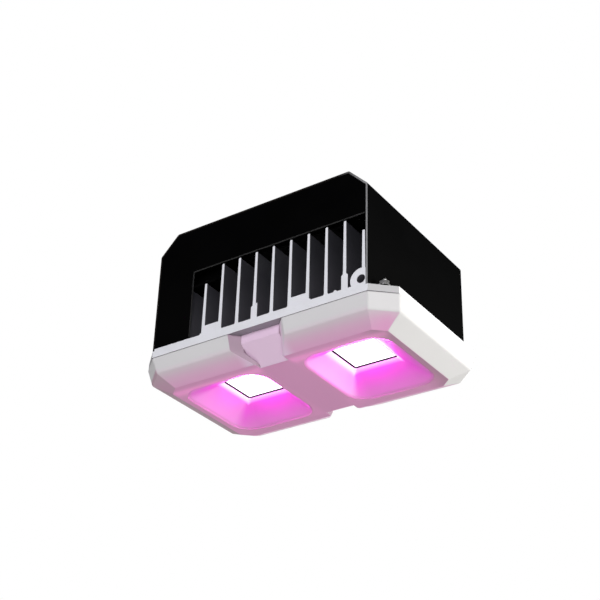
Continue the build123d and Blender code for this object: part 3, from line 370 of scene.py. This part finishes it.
def led_emitter(name):
    """Silicone over the diodes, lit: a fine grid of brighter points."""
    s = Shader(name)
    cells = s.cells(900.0)
    glow = s.mix(s.ramp(cells, 0.1, 0.6), (1.0, 0.09, 0.90, 1.0), LED_COLOUR)
    s.set(
        Base_Color=(0.9, 0.75, 0.45, 1.0),
        Roughness=0.35,
        Emission_Color=glow,
        Emission_Strength=LED_STRENGTH,
    )
    return s


def window_glass(name):
    """Thick frosted pane, lit through by the diodes behind it, with a painted shadow line at its
    seal.
    """
    s = Shader(name)
    frost = s.noise(1100.0, 4.0)
    off_neck = s.beyond(LED_CENTRE_X, NECK_HALF)
    # Painted shadow of the seal: near-black and unlit along the pane's edge.
    clear = s.ramp(off_neck, -1.3 * MM, -1.6 * MM)
    middle = s.ramp(off_neck, -1.8 * MM, -4.5 * MM)
    s.set(
        Base_Color=s.mix(clear, grey(0.004), s.mix(frost, grey(0.84), grey(0.92))),
        Roughness=0.6,
        Specular_IOR_Level=0.1,
        Emission_Color=s.mix(middle, (1.0, 0.86, 1.0, 1.0), LED_COLOUR),
        Emission_Strength=s.math("MULTIPLY", clear, s.ramp(middle, 0.0, 1.0, 1.25, PANE_STRENGTH)),
    )
    s.bump(frost, 0.05, 0.02 * MM)
    return s


def plain_plastic(name, colour, roughness, grain=1200.0, depth=0.08):
    """Moulded plastic or rubber with a spark-eroded grain."""
    s = Shader(name)
    fine = s.noise(grain, 5.0, 0.6)
    patches = s.noise(45.0, 3.0)
    darker = tuple(0.82 * c for c in colour[:3]) + (1.0,)
    s.set(
        Base_Color=s.mix(patches, darker, colour),
        Roughness=s.ramp(patches, 0.3, 0.7, roughness - 0.05, roughness + 0.06),
    )
    s.bump(fine, depth, 0.05 * MM, edge=0.2 * MM)
    return s


def metal_finish(name, colour, roughness, stretch=(1.0, 1.0, 1.0), grain=1400.0, depth=0.10):
    """Metal with drawing or turning marks and slight tarnish."""
    s = Shader(name)
    marks = s.noise(grain, 5.0, 0.65, stretch)
    tarnish = s.noise(90.0, 4.0)
    darker = tuple(0.72 * c for c in colour[:3]) + (1.0,)
    s.set(
        Base_Color=s.mix(s.ramp(tarnish, 0.35, 0.7), colour, darker),
        Metallic=1.0,
        Roughness=s.ramp(marks, 0.25, 0.75, roughness - 0.06, roughness + 0.08),
    )
    s.bump(marks, depth, 0.03 * MM, edge=0.2 * MM)
    return s


def circuit_board(name):
    """White solder mask on the light boards."""
    s = Shader(name)
    mask = s.noise(700.0, 4.0)
    s.set(Base_Color=s.mix(mask, grey(0.62), grey(0.72)), Roughness=0.4)
    s.bump(mask, 0.05, 0.03 * MM)
    return s


FINISHES = {
    "heatsink_aluminium": heatsink_aluminium,
    "white_moulding": white_moulding,
    "black_sheet": black_sheet,
    "board": circuit_board,
    "led_emitter": led_emitter,
    "window_glass": window_glass,
    "black_rubber": lambda name: plain_plastic(name, grey(0.004), 0.85, depth=0.12),
    "steel_screws": lambda name: metal_finish(name, grey(0.55), 0.30),
    "bright_hardware": lambda name: metal_finish(name, grey(0.86), 0.30, depth=0.05),
    "rivet_aluminium": lambda name: metal_finish(name, grey(0.70), 0.34),
    "ring_steel": lambda name: metal_finish(name, grey(0.62), 0.24),
    "fan_plastic": lambda name: plain_plastic(name, grey(0.010), 0.48),
    "bearing_bronze": lambda name: metal_finish(name, (0.55, 0.33, 0.14, 1.0), 0.36),
    "winding_copper": lambda name: metal_finish(name, (0.62, 0.24, 0.10, 1.0), 0.30, (1.0, 1.0, 6.0)),
    "magnet_ferrite": lambda name: plain_plastic(name, grey(0.03), 0.6),
    "guard_chrome": lambda name: metal_finish(name, grey(0.72), 0.12, depth=0.04),
    "black_screws": lambda name: metal_finish(name, grey(0.035), 0.34),
    "driver_black": black_sheet,
    "inlet_plastic": lambda name: plain_plastic(name, grey(0.014), 0.42),
    "pin_brass": lambda name: metal_finish(name, (0.70, 0.50, 0.22, 1.0), 0.22),
    "lead_sheath": lambda name: plain_plastic(name, grey(0.016), 0.5),
}
NODE_FINISHES = {
    "cover_shell": cover_sheet,
    "front_panel": panel_sheet,
    "rear_panel": panel_sheet,
    "driver_screws": FINISHES["black_screws"],
    "ring_straps": lambda name: metal_finish(name, grey(0.42), 0.42),
}


def dress_nodes():
    """Give every CAD node its finish, one material for each slot or special node."""
    made = {}
    for row in frame["record"]["subparts"]:
        node = row["node"]
        make = NODE_FINISHES.get(node, FINISHES[row["material_slot"]])
        key = node if node in NODE_FINISHES else row["material_slot"]
        if key not in made:
            made[key] = make(key).material
        mesh = frame["nodes"][node].data
        mesh.materials.clear()
        mesh.materials.append(made[key])
    housing = frame["nodes"]["reflector_housing"].data
    housing.materials.append(reflector_bowl("reflector_bowl").material)
    for face in housing.polygons:
        x, y, z = face.center
        in_mouth = abs(abs(x) - MOUTH_CENTRE_X) < MOUTH_HALF[0] and abs(y) < MOUTH_HALF[1]
        if in_mouth and BOWL_LOW < z < BOWL_HIGH:
            face.material_index = 1


# ---- studio ----
def add_camera():
    """The camera at its angle and distance from the target, turned by its roll."""
    azimuth = math.radians(CAMERA_AZIMUTH)
    elevation = math.radians(CAMERA_ELEVATION)
    roll = math.radians(CAMERA_ROLL)
    back = Vector((
        math.sin(azimuth) * math.cos(elevation),
        -math.cos(azimuth) * math.cos(elevation),
        math.sin(elevation),
    ))
    right = Vector((0.0, 0.0, 1.0)).cross(back).normalized()
    up = back.cross(right)
    turned_right = math.cos(roll) * right + math.sin(roll) * up
    turned_up = math.cos(roll) * up - math.sin(roll) * right
    data = bpy.data.cameras.new("camera")
    data.lens = CAMERA_LENS
    data.sensor_width = 36.0
    data.clip_start = 0.01
    data.clip_end = 200.0
    camera = bpy.data.objects.new("camera", data)
    bpy.context.scene.collection.objects.link(camera)
    turn = Matrix((turned_right, turned_up, back)).transposed().to_4x4()
    camera.matrix_world = Matrix.Translation(CAMERA_TARGET + back * CAMERA_DISTANCE) @ turn
    bpy.context.scene.camera = camera


def add_softbox(name, place, aim, size, power, colour):
    """A rectangular lamp that the camera doesn't see."""
    data = bpy.data.lights.new(name, "AREA")
    data.shape = "RECTANGLE"
    data.size, data.size_y = size
    data.energy = power
    data.color = colour
    light = bpy.data.objects.new(name, data)
    bpy.context.scene.collection.objects.link(light)
    light.location = place
    light.rotation_euler = (Vector(place) - Vector(aim)).to_track_quat("Z", "Y").to_euler()
    light.visible_camera = False


def add_world():
    """White to the camera, a softer grey as a light source."""
    world = bpy.data.worlds.new("studio")
    bpy.context.scene.world = world
    world.use_nodes = True
    nodes, links = world.node_tree.nodes, world.node_tree.links
    seen = nodes["Background"]
    seen.inputs["Color"].default_value = (1.0, 1.0, 1.0, 1.0)
    lighting = nodes.new("ShaderNodeBackground")
    lighting.inputs["Color"].default_value = (AMBIENT, AMBIENT, AMBIENT, 1.0)
    path = nodes.new("ShaderNodeLightPath")
    both = nodes.new("ShaderNodeMixShader")
    links.new(path.outputs["Is Camera Ray"], both.inputs["Fac"])
    links.new(lighting.outputs[0], both.inputs[1])
    links.new(seen.outputs[0], both.inputs[2])
    links.new(both.outputs[0], nodes["World Output"].inputs["Surface"])


def add_floor():
    """A wide white floor far below the lamp."""
    half = FLOOR_SIZE / 2
    mesh = bpy.data.meshes.new("floor")
    outline = ((-half, -half), (half, -half), (half, half), (-half, half))
    mesh.from_pydata([(x, y, FLOOR_Z) for x, y in outline], [], [(0, 1, 2, 3)])
    floor = bpy.data.objects.new("floor", mesh)
    bpy.context.scene.collection.objects.link(floor)
    s = Shader("floor")
    s.set(Base_Color=s.mix(s.noise(3.0, 4.0), grey(0.86), grey(0.90)), Roughness=0.9)
    mesh.materials.append(s.material)


def add_studio():
    add_world()
    add_floor()
    for name, (place, aim, size, power, colour) in SOFTBOXES.items():
        add_softbox(name, place, aim, size, power, colour)
    scene = bpy.context.scene
    scene.view_settings.view_transform = "Standard"
    scene.view_settings.look = "None"


dress_nodes()
add_camera()
add_studio()
